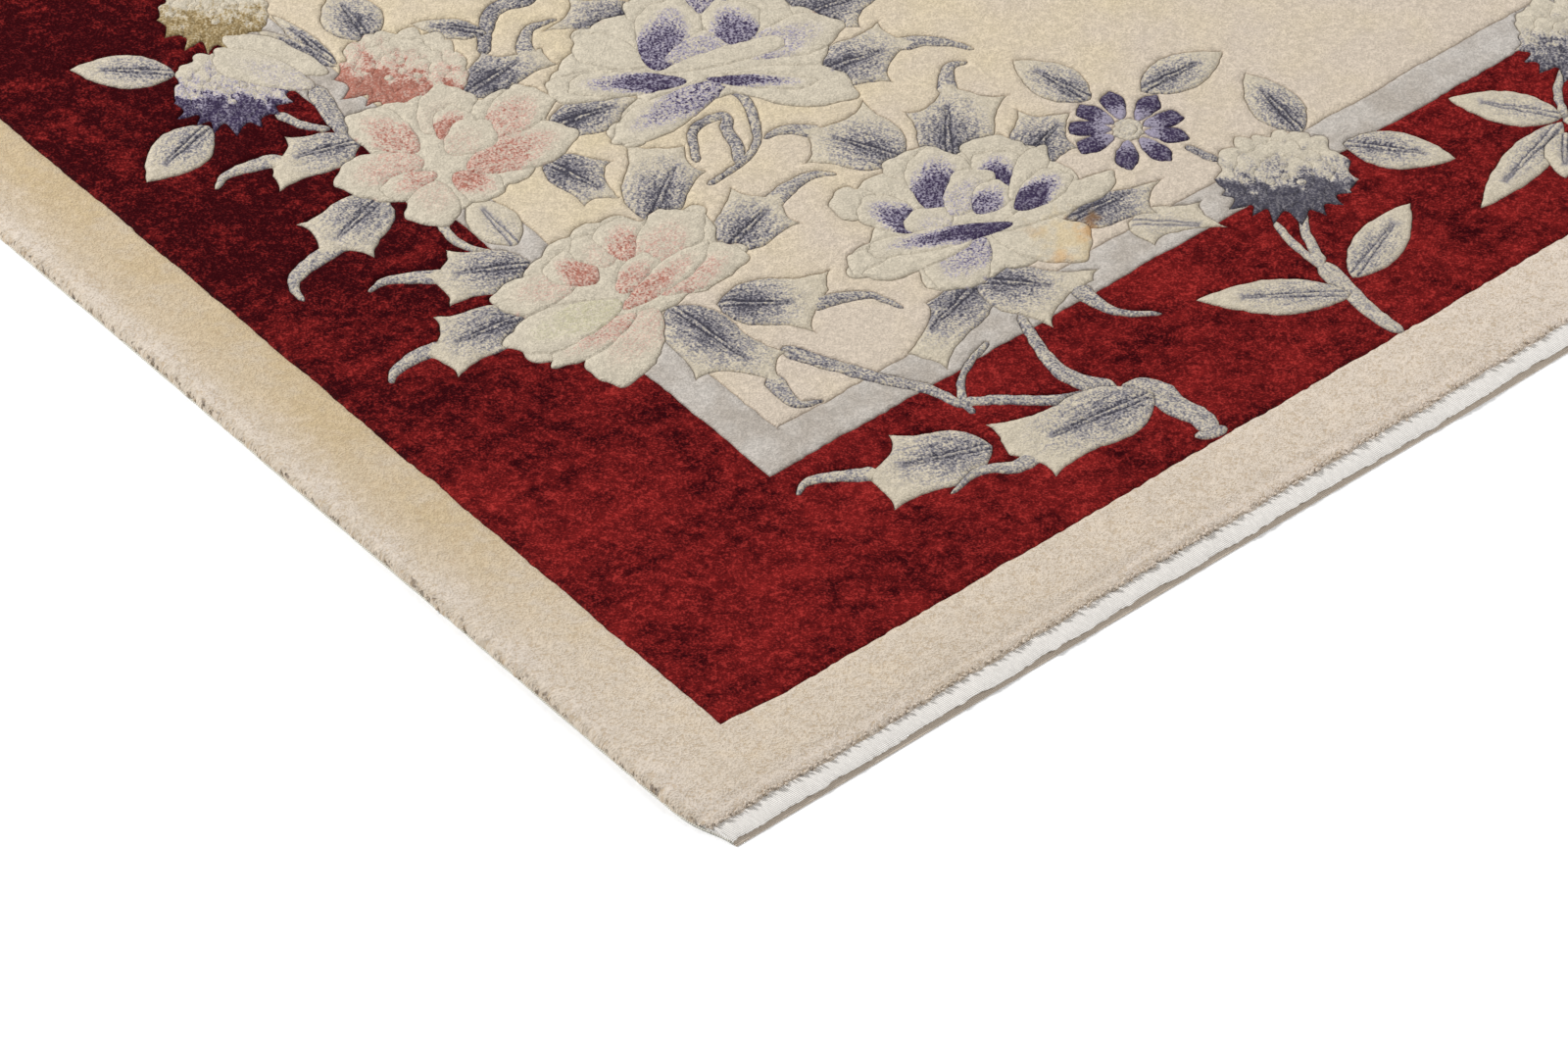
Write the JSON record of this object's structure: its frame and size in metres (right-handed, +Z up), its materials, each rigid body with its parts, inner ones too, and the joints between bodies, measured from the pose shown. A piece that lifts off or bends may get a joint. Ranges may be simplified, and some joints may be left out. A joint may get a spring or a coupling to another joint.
{
  "type": "chinese silk rug",
  "caption": "Rectangular hand-knotted silk rug with a carved floral pile, plain borders and flat-woven ends, lying flat.",
  "frame": {"origin": "middle of the flat underside", "axes": "+X along the short ends, +Y along the long sides, +Z up out of the pile"},
  "size_m": [1.83, 2.74, 0.012],
  "materials": {
    "silk_pile": "soft cut silk pile"
  },
  "bodies": {
    "root": {"knotted_rug": "silk_pile"}
  },
  "joints": []
}
